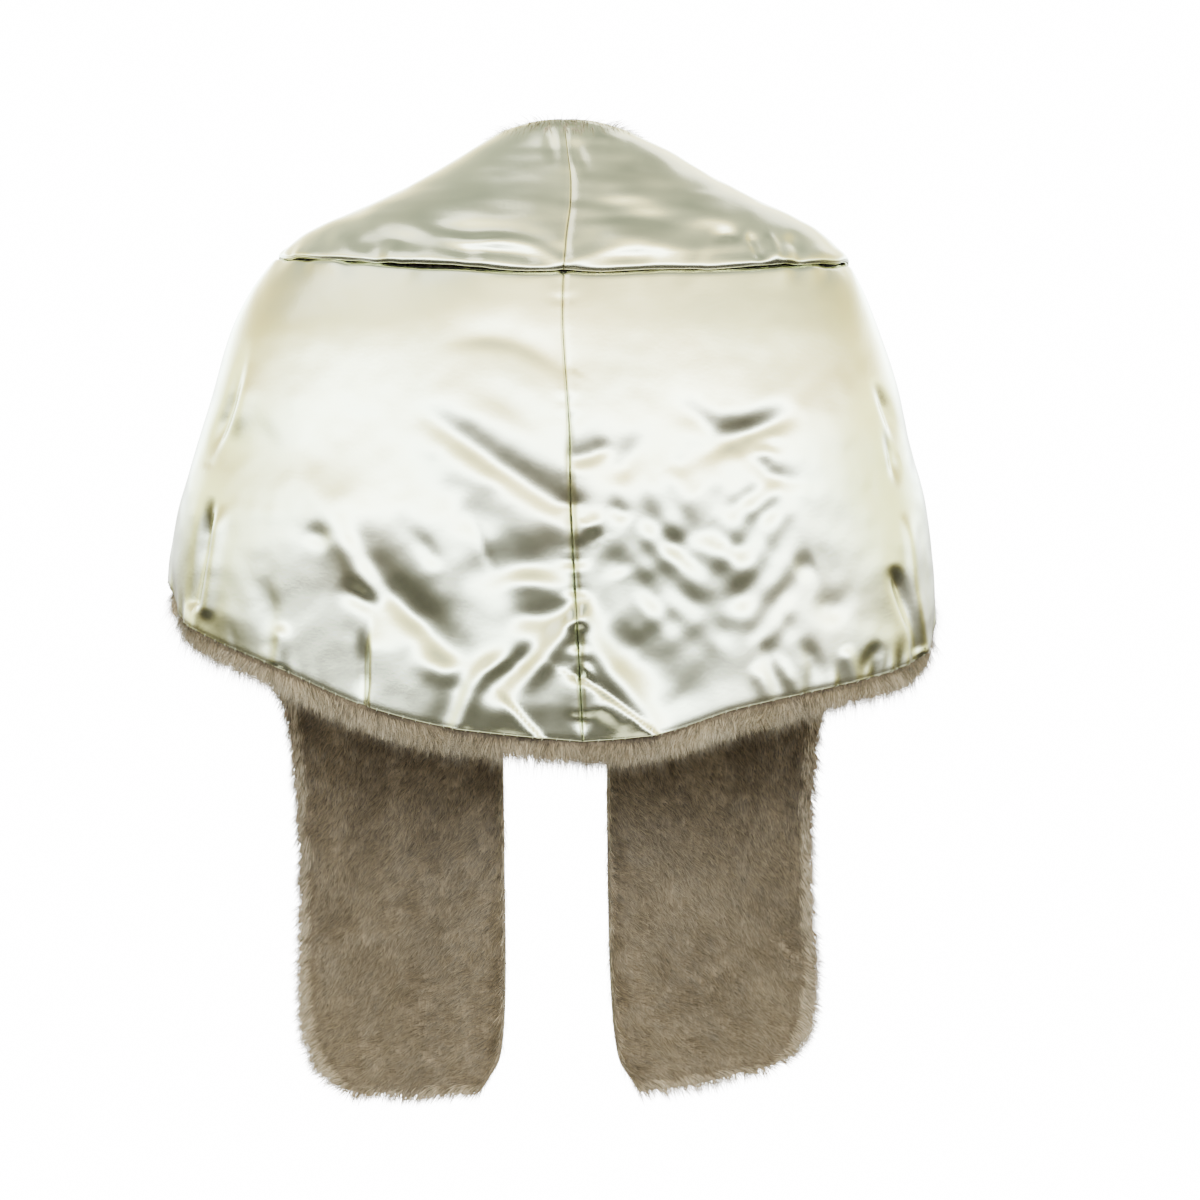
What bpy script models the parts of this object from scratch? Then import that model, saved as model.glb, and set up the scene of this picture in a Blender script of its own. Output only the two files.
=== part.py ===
"""Fur evening stole, worn with its satin lining outward and its fur against the wearer.

Metres, +Z up. The wearer faces -Y and the wearer's left is +X. The origin is the centre
back of the neck edge, where the nape and shoulders hold the stole.

The cloth lies on the envelope of a general figure (FIGURE), cut along sections that run
from the neck edge to the hem (CUT), and raised or sunk by its largest folds (FOLDS).
"""

from collections import namedtuple

import bpy
import numpy as np

# Driving sizes.
LINING_WALL = 0.0012
SEAM_GAP = 0.0003
FUR_GAP = 0.0006
FUR_WALL = 0.014
FUR_PAST_HEM = 0.020
FUR_PAST_NECK = 0.004
FUR_PAST_ENDS = 0.014
SEAM_DIP = 0.005
SEAM_DIP_REACH = 0.022

# Envelope of the figure with its arms down, level by level. `lean` moves a level sideways,
# `square` is the exponent of its superellipse.
Level = namedtuple("Level", "z half_width lean back front square")
FIGURE = [
    Level(0.000, 0.047, 0.000, 0.000, -0.100, 2.0),
    Level(-0.006, 0.056, 0.000, 0.004, -0.102, 2.0),
    Level(-0.030, 0.099, -0.002, 0.017, -0.107, 2.0),
    Level(-0.056, 0.144, -0.004, 0.030, -0.112, 2.0),
    Level(-0.076, 0.185, -0.003, 0.040, -0.118, 2.1),
    Level(-0.100, 0.229, 0.001, 0.050, -0.126, 2.2),
    Level(-0.122, 0.250, 0.004, 0.058, -0.134, 2.3),
    Level(-0.150, 0.268, 0.007, 0.066, -0.144, 2.4),
    Level(-0.193, 0.285, 0.009, 0.076, -0.160, 2.5),
    Level(-0.270, 0.307, 0.008, 0.088, -0.184, 2.5),
    Level(-0.345, 0.325, 0.011, 0.094, -0.196, 2.5),
    Level(-0.394, 0.331, 0.011, 0.096, -0.196, 2.5),
    Level(-0.530, 0.340, 0.011, 0.098, -0.190, 2.6),
    Level(-0.900, 0.345, 0.006, 0.098, -0.192, 2.7),
]

# Sections of one half, from the centre back to the end of the front. `round` is a share of
# the half girth, 0 at the centre back and 1 at the centre front. `collar` is the width of
# the collar along the section, 0 past its end.
Section = namedtuple(
    "Section", "neck_round neck_z hem_round hem_z_left hem_z_right collar"
)
CUT = [
    Section(0.000, 0.000, -0.033, -0.530, -0.530, 0.151),
    Section(0.130, 0.000, 0.090, -0.520, -0.526, 0.160),
    Section(0.240, -0.001, 0.190, -0.500, -0.503, 0.180),
    Section(0.330, -0.002, 0.280, -0.470, -0.487, 0.200),
    Section(0.400, -0.003, 0.355, -0.448, -0.474, 0.217),
    Section(0.450, -0.004, 0.420, -0.428, -0.456, 0.226),
    Section(0.500, -0.006, 0.480, -0.398, -0.412, 0.226),
    Section(0.560, -0.010, 0.530, -0.396, -0.396, 0.214),
    Section(0.640, -0.022, 0.580, -0.402, -0.400, 0.192),
    Section(0.730, -0.045, 0.625, -0.420, -0.416, 0.162),
    Section(0.820, -0.095, 0.660, -0.452, -0.446, 0.120),
    Section(0.880, -0.180, 0.702, -0.498, -0.490, 0.074),
    Section(0.915, -0.290, 0.717, -0.556, -0.546, 0.030),
    Section(0.932, -0.400, 0.725, -0.620, -0.610, 0.004),
    Section(0.940, -0.510, 0.728, -0.686, -0.674, 0.000),
    Section(0.942, -0.620, 0.728, -0.742, -0.728, 0.000),
    Section(0.942, -0.715, 0.731, -0.786, -0.770, 0.000),
    Section(0.940, -0.785, 0.741, -0.820, -0.802, 0.000),
    Section(0.934, -0.830, 0.758, -0.844, -0.824, 0.000),
    Section(0.918, -0.854, 0.779, -0.856, -0.836, 0.000),
]

# Largest folds, as soft ridges (height over 0) and troughs (under 0) along straight lines.
# `across` is the distance round the figure from the centre back, + to the wearer's left.
Fold = namedtuple("Fold", "across_a z_a across_b z_b width height")
FOLDS = [
    Fold(0.372, -0.180, 0.352, -0.300, 0.022, 0.008),
    Fold(0.345, -0.290, 0.362, -0.440, 0.018, -0.012),
    Fold(0.395, -0.260, 0.405, -0.430, 0.024, 0.009),
    Fold(-0.345, -0.300, -0.356, -0.500, 0.022, 0.012),
    Fold(-0.392, -0.250, -0.402, -0.440, 0.022, -0.012),
    Fold(-0.425, -0.260, -0.440, -0.430, 0.022, 0.008),
    Fold(0.160, -0.425, 0.172, -0.560, 0.020, 0.007),
    Fold(0.120, -0.340, 0.190, -0.440, 0.022, -0.006),
    Fold(0.060, -0.480, 0.022, -0.560, 0.018, 0.008),
    Fold(-0.020, -0.470, -0.085, -0.560, 0.020, 0.009),
    Fold(-0.195, -0.255, -0.110, -0.305, 0.022, -0.006),
    Fold(-0.175, -0.440, -0.210, -0.540, 0.018, 0.006),
    Fold(0.520, -0.170, 0.560, -0.460, 0.030, 0.010),
    Fold(0.610, -0.200, 0.615, -0.620, 0.026, -0.008),
    Fold(0.680, -0.300, 0.660, -0.880, 0.024, 0.007),
    Fold(-0.515, -0.180, -0.560, -0.470, 0.030, 0.010),
    Fold(-0.605, -0.210, -0.610, -0.640, 0.026, -0.008),
    Fold(-0.690, -0.320, -0.665, -0.880, 0.024, 0.007),
]

# Fineness of the master sheet and of the pieces cut from it.
LEVEL_STEPS = 361
RING_STEPS = 97
SECTION_STEPS = 241
STEPS_PER_ROW = 4
SHEET_STEPS = 121
SPARE = 0.040
NORMAL_PASSES = 12
BODY_ROWS = 11
COLLAR_ROWS = 5
RIBS_PER_ROW = 2
COLLAR_LAST_ROW = 13
COLLAR_LEAST = 0.0005

SATIN = ((0.72, 0.73, 0.62), 0.22)
FUR = ((0.32, 0.25, 0.17), 0.85)


def smooth(knots, values, at):
    """Cubic curve through a table's column that never overshoots its rows."""
    knots = np.asarray(knots, float)
    values = np.asarray(values, float)
    step = np.diff(knots)
    slope = np.diff(values) / step
    tangent = np.concatenate([slope[:1], np.zeros(len(slope) - 1), slope[-1:]])
    before, after = slope[:-1], slope[1:]
    same_way = before * after > 0
    near = 2 * step[1:] + step[:-1]
    far = step[1:] + 2 * step[:-1]
    blend = near[same_way] / before[same_way] + far[same_way] / after[same_way]
    tangent[1:-1][same_way] = (near + far)[same_way] / blend
    at = np.clip(at, knots[0], knots[-1])
    i = np.clip(np.searchsorted(knots, at, side="right") - 1, 0, len(step) - 1)
    t = (at - knots[i]) / step[i]
    start = (1 + 2 * t) * (1 - t) ** 2 * values[i] + t * (1 - t) ** 2 * step[i] * tangent[i]
    end = t * t * (3 - 2 * t) * values[i + 1] - t * t * (1 - t) * step[i] * tangent[i + 1]
    return start + end


class Envelope:
    """Points of the figure's envelope by share of the half girth and by height."""

    def __init__(self):
        depth = [-level.z for level in FIGURE]
        self.depths = np.linspace(depth[0], depth[-1], LEVEL_STEPS)
        column = {
            name: smooth(depth, [getattr(level, name) for level in FIGURE], self.depths)
            for name in ("half_width", "lean", "back", "front", "square")
        }
        turn = np.linspace(0.0, np.pi, 4 * RING_STEPS)
        power = (2.0 / column["square"])[:, None]
        half_depth = ((column["back"] - column["front"]) / 2)[:, None]
        middle = ((column["back"] + column["front"]) / 2)[:, None]
        across = column["half_width"][:, None] * np.abs(np.sin(turn)) ** power
        along = middle + half_depth * np.sign(np.cos(turn)) * np.abs(np.cos(turn)) ** power
        self.lean = column["lean"]
        self.across = np.empty((LEVEL_STEPS, RING_STEPS))
        self.along = np.empty((LEVEL_STEPS, RING_STEPS))
        self.girth = np.empty(LEVEL_STEPS)
        for row in range(LEVEL_STEPS):
            steps = np.hypot(np.diff(across[row]), np.diff(along[row]))
            length = np.concatenate([[0.0], np.cumsum(steps)])
            even = np.linspace(0.0, length[-1], RING_STEPS)
            self.across[row] = np.interp(even, length, across[row])
            self.along[row] = np.interp(even, length, along[row])
            self.girth[row] = length[-1]

    def half_girth(self, z):
        return np.interp(-z, self.depths, self.girth)

    def point(self, share, z):
        """Point at a signed share of the half girth, + on the wearer's left."""
        row = np.clip(-z, 0.0, self.depths[-1]) / self.depths[-1] * (LEVEL_STEPS - 1)
        spot = np.clip(np.abs(share), 0.0, 1.0) * (RING_STEPS - 1)
        r = np.minimum(row.astype(int), LEVEL_STEPS - 2)
        s = np.minimum(spot.astype(int), RING_STEPS - 2)
        fr, fs = row - r, spot - s

        def mix(grid):
            top = grid[r, s] * (1 - fs) + grid[r, s + 1] * fs
            low = grid[r + 1, s] * (1 - fs) + grid[r + 1, s + 1] * fs
            return top * (1 - fr) + low * fr

        lean = self.lean[r] * (1 - fr) + self.lean[r + 1] * fr
        x = lean + np.sign(share) * mix(self.across)
        return np.stack([x, mix(self.along), z], axis=-1)


def grid_normals(points):
    """Outward normals of a grid whose rows run right to left and neck to hem."""
    normal = np.cross(np.gradient(points, axis=0), np.gradient(points, axis=1))
    return normal / np.linalg.norm(normal, axis=-1, keepdims=True)


def even_normals(normals):
    """Normals averaged over their neighbours, so that an inner offset doesn't cross itself."""
    for _ in range(NORMAL_PASSES):
        padded = np.pad(normals, ((1, 1), (1, 1), (0, 0)), mode="edge")
        normals = (
            padded[:-2, 1:-1] + padded[2:, 1:-1] + padded[1:-1, :-2] + padded[1:-1, 2:]
            + 2 * normals
        )
        normals = normals / np.linalg.norm(normals, axis=-1, keepdims=True)
    return normals


def fold_height(across, z):
    """Sum of the folds' heights at sheet positions."""
    height = np.zeros_like(across)
    for fold in FOLDS:
        start = np.array([fold.across_a, fold.z_a])
        run = np.array([fold.across_b, fold.z_b]) - start
        offset = np.stack([across - start[0], z - start[1]], axis=-1)
        t = np.clip(offset @ run / (run @ run), 0.0, 1.0)
        away = np.linalg.norm(offset - t[..., None] * run, axis=-1) / fold.width
        ridge = 0.5 + 0.5 * np.cos(np.pi * np.clip(away, 0.0, 1.0))
        height += fold.height * ridge * np.sin(0.5 * np.pi * np.clip(t * 2, 0.0, 1.0))
    return height


class Sheet:
    """The whole stole as one fine grid: sections from the right end to the left end."""

    def __init__(self, envelope):
        rows = len(CUT)
        half = np.linspace(0.0, rows - 1, (rows - 1) * STEPS_PER_ROW + 1)
        self.rows = np.concatenate([-half[:0:-1], half])
        column = {
            name: smooth(range(rows), [getattr(cut, name) for cut in CUT], np.abs(self.rows))
            for name in Section._fields
        }
        side = np.where(self.rows < 0, -1.0, 1.0)
        hem_z = np.where(self.rows < 0, column["hem_z_right"], column["hem_z_left"])
        hem_side = side * column["hem_round"]
        cross_over = np.clip(np.abs(self.rows), 0.0, 1.0)
        hem_side = np.where(
            np.abs(self.rows) < 1.0,
            CUT[0].hem_round * (1 - cross_over) + side * CUT[1].hem_round * cross_over,
            hem_side,
        )
        self.collar = column["collar"]
        self.length = np.empty(len(self.rows))
        base = np.empty((len(self.rows), SHEET_STEPS, 3))
        across = np.empty((len(self.rows), SHEET_STEPS))
        t = np.linspace(0.0, 1.0, SECTION_STEPS)
        for i in range(len(self.rows)):
            share = side[i] * column["neck_round"][i] * (1 - t) + hem_side[i] * t
            z = column["neck_z"][i] * (1 - t) + hem_z[i] * t
            line = envelope.point(share, z)
            steps = np.linalg.norm(np.diff(line, axis=0), axis=1)
            length = np.concatenate([[0.0], np.cumsum(steps)])
            self.length[i] = length[-1]
            at = self.distances(length[-1])
            inside = np.clip(at, 0.0, length[-1])
            for axis in range(3):
                base[i, :, axis] = np.interp(inside, length, line[:, axis])
            reach = 6
            first = (line[0] - line[reach]) / length[reach]
            last = (line[-1] - line[-1 - reach]) / (length[-1] - length[-1 - reach])
            base[i] += np.outer(np.maximum(-at, 0.0), first)
            base[i] += np.outer(np.maximum(at - length[-1], 0.0), last)
            share_at = np.interp(inside, length, share)
            across[i] = share_at * envelope.half_girth(np.interp(inside, length, z))
        self.base = base
        self.base_normal = even_normals(grid_normals(base))
        height = fold_height(across, base[..., 2])
        self.face = base + self.base_normal * height[..., None]
        self.face -= self.base_normal * self.seam_dips()[..., None]
        self.normal = grid_normals(self.face)
        self.grids = (self.face, self.normal, self.base, self.base_normal)

    @staticmethod
    def distances(length):
        """Distances from the neck edge of one section's grid points, spare cloth included."""
        return np.linspace(-SPARE, length + SPARE, SHEET_STEPS)

    def seam_dips(self):
        """Depth to which the quilted satin is drawn in at the collar seam."""
        dips = np.zeros((len(self.rows), SHEET_STEPS))
        for i, collar in enumerate(self.collar):
            away = np.abs(self.distances(self.length[i]) - collar) / SEAM_DIP_REACH
            fade = np.clip(collar / 0.15, 0.0, 1.0)
            dips[i] = SEAM_DIP * fade * np.clip(1 - away, 0.0, 1.0) ** 2
        return dips

    def take(self, grid, row, distance):
        """Value of one of the sheet's grids at a section and a distance from the neck."""
        i = np.clip(int(np.floor((row - self.rows[0]) * STEPS_PER_ROW)), 0, len(self.rows) - 2)
        f = (row - self.rows[i]) * STEPS_PER_ROW
        value = 0.0
        for k, share in ((i, 1 - f), (i + 1, f)):
            at = (distance + SPARE) / (self.length[k] + 2 * SPARE) * (SHEET_STEPS - 1)
            j = np.clip(int(np.floor(at)), 0, SHEET_STEPS - 2)
            value = value + share * (grid[k, j] * (1 - (at - j)) + grid[k, j + 1] * (at - j))
        return value

    def measure(self, row):
        """Length and collar width of the section at a row."""
        length = np.interp(row, self.rows, self.length)
        collar = np.interp(row, self.rows, self.collar)
        return length, collar


def piece_points(sheet, row_span, distances_of, outer, inner):
    """Outer and inner point grids of a piece, at chosen distances along its sections."""
    count = int(round(abs(row_span[1] - row_span[0]) * RIBS_PER_ROW)) + 1
    outside, inside = [], []
    for row in np.linspace(row_span[0], row_span[1], count):
        out_line, in_line = [], []
        for distance in distances_of(*sheet.measure(row)):
            places = [sheet.take(grid, row, distance) for grid in sheet.grids]
            out_line.append(outer(*places))
            in_line.append(inner(*places))
        outside.append(out_line)
        inside.append(in_line)
    return np.array(outside), np.array(inside)


def lining_outer(face, normal, base, base_normal):
    return face


def lining_inner(face, normal, base, base_normal):
    return face - normal * LINING_WALL


def fur_outer(face, normal, base, base_normal):
    return face - normal * (LINING_WALL + SEAM_GAP)


def fur_inner(face, normal, base, base_normal):
    return base - base_normal * (LINING_WALL + SEAM_GAP + FUR_WALL)


def extend_end(points, reach):
    """The same grid with one more section past its last, along its own run."""
    run = points[-1] - points[-2]
    run /= np.linalg.norm(run, axis=-1, keepdims=True)
    return np.concatenate([points, (points[-1] + run * reach)[None]])


def shift_edge(points, row, amount):
    """Move one section sideways, to leave the seam gap."""
    points[row, :, 0] += amount


def make_material(name, look):
    colour, roughness = look
    material = bpy.data.materials.new(name)
    material.use_nodes = True
    shader = material.node_tree.nodes["Principled BSDF"]
    shader.inputs["Base Color"].default_value = (*colour, 1.0)
    shader.inputs["Roughness"].default_value = roughness
    shader.inputs["Metallic"].default_value = 0.0
    return material


def make_piece(name, outside, inside, look):
    """One closed wall between two point grids, its faces pointing out."""
    ribs, rows = outside.shape[:2]
    vertices = np.concatenate([outside.reshape(-1, 3), inside.reshape(-1, 3)])
    inner = ribs * rows

    def at(rib, row):
        return rib * rows + row

    faces = []
    for rib in range(ribs - 1):
        for row in range(rows - 1):
            a, b = at(rib, row), at(rib + 1, row)
            c, d = at(rib + 1, row + 1), at(rib, row + 1)
            for corners in ((a, b, c), (a, c, d)):
                faces.append(corners)
                faces.append(tuple(inner + corner for corner in reversed(corners)))
    top = [at(rib, 0) for rib in range(ribs)]
    bottom = [at(rib, rows - 1) for rib in reversed(range(ribs))]
    start = [at(0, row) for row in reversed(range(rows))]
    end = [at(ribs - 1, row) for row in range(rows)]
    for edge in (top, bottom, start, end):
        for a, b in zip(edge, edge[1:]):
            faces.append((b, a, inner + a, inner + b))
    mesh = bpy.data.meshes.new(name)
    mesh.from_pydata(vertices.tolist(), [], faces)
    mesh.validate()
    mesh.shade_smooth()
    mesh.set_sharp_from_angle(angle=0.9)
    mesh.materials.append(make_material(name, look))
    piece = bpy.data.objects.new(name, mesh)
    bpy.context.scene.collection.objects.link(piece)
    return piece


def body_distances(length, collar):
    start = collar + SEAM_GAP / 2 if collar > COLLAR_LEAST else 0.0
    return np.linspace(start, length, BODY_ROWS)


def collar_distances(length, collar):
    return np.linspace(0.0, collar - SEAM_GAP / 2, COLLAR_ROWS)


def fur_body_distances(length, collar):
    lining = body_distances(length, collar)
    first = lining[0] + FUR_GAP / 2 if collar > COLLAR_LEAST else -FUR_PAST_NECK
    return np.concatenate([[first], lining[1:], [length + FUR_PAST_HEM]])


def fur_collar_distances(length, collar):
    lining = collar_distances(length, collar)
    lining[-1] -= FUR_GAP / 2
    return np.concatenate([[-FUR_PAST_NECK], lining])


def build_body(sheet, side, sign):
    """The lining and fur of one half below the collar, from centre back to front end."""
    span = (0.0, sign * (len(CUT) - 1))
    lining = piece_points(sheet, span, body_distances, lining_outer, lining_inner)
    fur = piece_points(sheet, span, fur_body_distances, fur_outer, fur_inner)
    fur = [extend_end(points, FUR_PAST_ENDS) for points in fur]
    for name, grids, look in (("lining_body", lining, SATIN), ("fur_body", fur, FUR)):
        for points in grids:
            shift_edge(points, 0, sign * SEAM_GAP / 2)
        ordered = [points if sign > 0 else points[::-1] for points in grids]
        make_piece(f"{name}_{side}", ordered[0], ordered[1], look)


def build_collar_lining(sheet, side, sign):
    """One half of the collar's lining, from the centre back seam to its tapered end."""
    span = (0.0, sign * COLLAR_LAST_ROW)
    grids = piece_points(sheet, span, collar_distances, lining_outer, lining_inner)
    for points in grids:
        shift_edge(points, 0, sign * SEAM_GAP / 2)
    ordered = [points if sign > 0 else points[::-1] for points in grids]
    make_piece(f"lining_collar_{side}", ordered[0], ordered[1], SATIN)


def build_collar_fur(sheet):
    """The fur collar in one piece, from tapered end to tapered end."""
    span = (-COLLAR_LAST_ROW, COLLAR_LAST_ROW)
    grids = piece_points(sheet, span, fur_collar_distances, fur_outer, fur_inner)
    make_piece("fur_collar", grids[0], grids[1], FUR)


def main():
    for old in list(bpy.data.objects):
        bpy.data.objects.remove(old, do_unlink=True)
    sheet = Sheet(Envelope())
    for side, sign in (("left", 1), ("right", -1)):
        build_body(sheet, side, sign)
        build_collar_lining(sheet, side, sign)
    build_collar_fur(sheet)


main()
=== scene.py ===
"""Looks of the fur evening stole: creased satin lining, seams, and a fur pile of single hairs.

Metres, in the CAD frame: +Z up, the wearer faces -Y, the wearer's left is +X.
"""

import math
from collections import namedtuple

import bpy
import numpy as np
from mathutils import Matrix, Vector


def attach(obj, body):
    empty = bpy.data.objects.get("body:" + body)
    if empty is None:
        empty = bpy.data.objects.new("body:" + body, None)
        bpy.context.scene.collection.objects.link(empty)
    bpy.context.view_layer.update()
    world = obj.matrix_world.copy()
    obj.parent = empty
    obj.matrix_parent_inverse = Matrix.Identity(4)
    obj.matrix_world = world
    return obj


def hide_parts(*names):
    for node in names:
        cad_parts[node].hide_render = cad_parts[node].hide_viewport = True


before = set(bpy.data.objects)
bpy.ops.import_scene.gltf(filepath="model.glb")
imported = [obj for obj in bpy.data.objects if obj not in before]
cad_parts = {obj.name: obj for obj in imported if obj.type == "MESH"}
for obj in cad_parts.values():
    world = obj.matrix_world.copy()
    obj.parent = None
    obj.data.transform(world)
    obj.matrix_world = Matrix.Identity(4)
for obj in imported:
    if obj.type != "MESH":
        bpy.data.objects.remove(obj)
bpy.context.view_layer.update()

# ---------------------------------------------------------------- the cut and the figure

Level = namedtuple("Level", "z half_width lean back front square")
FIGURE = [Level(*row) for row in (
    (0.000, 0.047, 0.000, 0.000, -0.100, 2.0),
    (-0.006, 0.056, 0.000, 0.004, -0.102, 2.0),
    (-0.030, 0.099, -0.002, 0.017, -0.107, 2.0),
    (-0.056, 0.144, -0.004, 0.030, -0.112, 2.0),
    (-0.076, 0.185, -0.003, 0.040, -0.118, 2.1),
    (-0.100, 0.229, 0.001, 0.050, -0.126, 2.2),
    (-0.122, 0.250, 0.004, 0.058, -0.134, 2.3),
    (-0.150, 0.268, 0.007, 0.066, -0.144, 2.4),
    (-0.193, 0.285, 0.009, 0.076, -0.160, 2.5),
    (-0.270, 0.307, 0.008, 0.088, -0.184, 2.5),
    (-0.345, 0.325, 0.011, 0.094, -0.196, 2.5),
    (-0.394, 0.331, 0.011, 0.096, -0.196, 2.5),
    (-0.530, 0.340, 0.011, 0.098, -0.190, 2.6),
    (-0.900, 0.345, 0.006, 0.098, -0.192, 2.7),
)]

Section = namedtuple("Section", "neck_round neck_z hem_round hem_z_left hem_z_right collar")
CUT = [Section(*row) for row in (
    (0.000, 0.000, -0.033, -0.530, -0.530, 0.151),
    (0.130, 0.000, 0.090, -0.520, -0.526, 0.160),
    (0.240, -0.001, 0.190, -0.500, -0.503, 0.180),
    (0.330, -0.002, 0.280, -0.470, -0.487, 0.200),
    (0.400, -0.003, 0.355, -0.448, -0.474, 0.217),
    (0.450, -0.004, 0.420, -0.428, -0.456, 0.226),
    (0.500, -0.006, 0.480, -0.398, -0.412, 0.226),
    (0.560, -0.010, 0.530, -0.396, -0.396, 0.214),
    (0.640, -0.022, 0.580, -0.402, -0.400, 0.192),
    (0.730, -0.045, 0.625, -0.420, -0.416, 0.162),
    (0.820, -0.095, 0.660, -0.452, -0.446, 0.120),
    (0.880, -0.180, 0.702, -0.498, -0.490, 0.074),
    (0.915, -0.290, 0.717, -0.556, -0.546, 0.030),
    (0.932, -0.400, 0.725, -0.620, -0.610, 0.004),
    (0.940, -0.510, 0.728, -0.686, -0.674, 0.000),
    (0.942, -0.620, 0.728, -0.742, -0.728, 0.000),
    (0.942, -0.715, 0.731, -0.786, -0.770, 0.000),
    (0.940, -0.785, 0.741, -0.820, -0.802, 0.000),
    (0.934, -0.830, 0.758, -0.844, -0.824, 0.000),
    (0.918, -0.854, 0.779, -0.856, -0.836, 0.000),
)]
LAST_ROW = len(CUT) - 1
COLLAR_END_ROW = 13

LEVEL_STEPS = 721
RING_STEPS = 193
SECTION_STEPS = 301


def smooth(knots, values, at):
    """Cubic curve through a table's column that never overshoots its rows."""
    knots = np.asarray(knots, float)
    values = np.asarray(values, float)
    step = np.diff(knots)
    slope = np.diff(values) / step
    tangent = np.concatenate([slope[:1], np.zeros(len(slope) - 1), slope[-1:]])
    before, after = slope[:-1], slope[1:]
    same_way = before * after > 0
    near = 2 * step[1:] + step[:-1]
    far = step[1:] + 2 * step[:-1]
    blend = near[same_way] / before[same_way] + far[same_way] / after[same_way]
    tangent[1:-1][same_way] = (near + far)[same_way] / blend
    at = np.clip(at, knots[0], knots[-1])
    i = np.clip(np.searchsorted(knots, at, side="right") - 1, 0, len(step) - 1)
    t = (at - knots[i]) / step[i]
    start = (1 + 2 * t) * (1 - t) ** 2 * values[i] + t * (1 - t) ** 2 * step[i] * tangent[i]
    end = t * t * (3 - 2 * t) * values[i + 1] - t * t * (1 - t) * step[i] * tangent[i + 1]
    return start + end


def ease(low, high, at):
    """0 below low, 1 above high, smooth between them."""
    t = np.clip((at - low) / (high - low), 0.0, 1.0)
    return t * t * (3 - 2 * t)


def bell(away, reach):
    """1 on a line, fading with the distance `away` from it."""
    return np.exp(-((away / reach) ** 2))


def unit(vectors):
    return vectors / np.maximum(np.linalg.norm(vectors, axis=-1, keepdims=True), 1e-12)


class Envelope:
    """Points of the figure's envelope by share of the half girth and by height."""

    def __init__(self):
        depth = [-level.z for level in FIGURE]
        self.depths = np.linspace(depth[0], depth[-1], LEVEL_STEPS)
        column = {
            name: smooth(depth, [getattr(level, name) for level in FIGURE], self.depths)
            for name in ("half_width", "lean", "back", "front", "square")
        }
        turn = np.linspace(0.0, np.pi, 4 * RING_STEPS)
        power = (2.0 / column["square"])[:, None]
        half_depth = ((column["back"] - column["front"]) / 2)[:, None]
        middle = ((column["back"] + column["front"]) / 2)[:, None]
        across = column["half_width"][:, None] * np.abs(np.sin(turn)) ** power
        along = middle + half_depth * np.sign(np.cos(turn)) * np.abs(np.cos(turn)) ** power
        self.lean = column["lean"]
        self.across = np.empty((LEVEL_STEPS, RING_STEPS))
        self.along = np.empty((LEVEL_STEPS, RING_STEPS))
        self.girth = np.empty(LEVEL_STEPS)
        for row in range(LEVEL_STEPS):
            steps = np.hypot(np.diff(across[row]), np.diff(along[row]))
            length = np.concatenate([[0.0], np.cumsum(steps)])
            even = np.linspace(0.0, length[-1], RING_STEPS)
            self.across[row] = np.interp(even, length, across[row])
            self.along[row] = np.interp(even, length, along[row])
            self.girth[row] = length[-1]

    def half_girth(self, z):
        return np.interp(-z, self.depths, self.girth)

    def point(self, share, z):
        """Point at a signed share of the half girth, + on the wearer's left."""
        row = np.clip(-z, 0.0, self.depths[-1]) / self.depths[-1] * (LEVEL_STEPS - 1)
        spot = np.clip(np.abs(share), 0.0, 1.0) * (RING_STEPS - 1)
        r = np.minimum(row.astype(int), LEVEL_STEPS - 2)
        s = np.minimum(spot.astype(int), RING_STEPS - 2)
        fr, fs = row - r, spot - s

        def mix(grid):
            top = grid[r, s] * (1 - fs) + grid[r, s + 1] * fs
            low = grid[r + 1, s] * (1 - fs) + grid[r + 1, s + 1] * fs
            return top * (1 - fr) + low * fr

        lean = self.lean[r] * (1 - fr) + self.lean[r + 1] * fr
        x = lean + np.sign(share) * mix(self.across)
        return np.stack([x, mix(self.along), z], axis=-1)


ENVELOPE = Envelope()


def normals_of(points):
    """Outward normals of a grid whose rows run right to left and neck to hem."""
    return unit(np.cross(np.gradient(points, axis=0), np.gradient(points, axis=1)))


def blur(grid, passes):
    """Average of a grid's values over their neighbours."""
    for _ in range(passes):
        pad = [(1, 1), (1, 1)] + [(0, 0)] * (grid.ndim - 2)
        wide = np.pad(grid, pad, mode="edge")
        sides = wide[:-2, 1:-1] + wide[2:, 1:-1] + wide[1:-1, :-2] + wide[1:-1, 2:]
        grid = (sides + 4 * grid) / 8
    return grid


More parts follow.
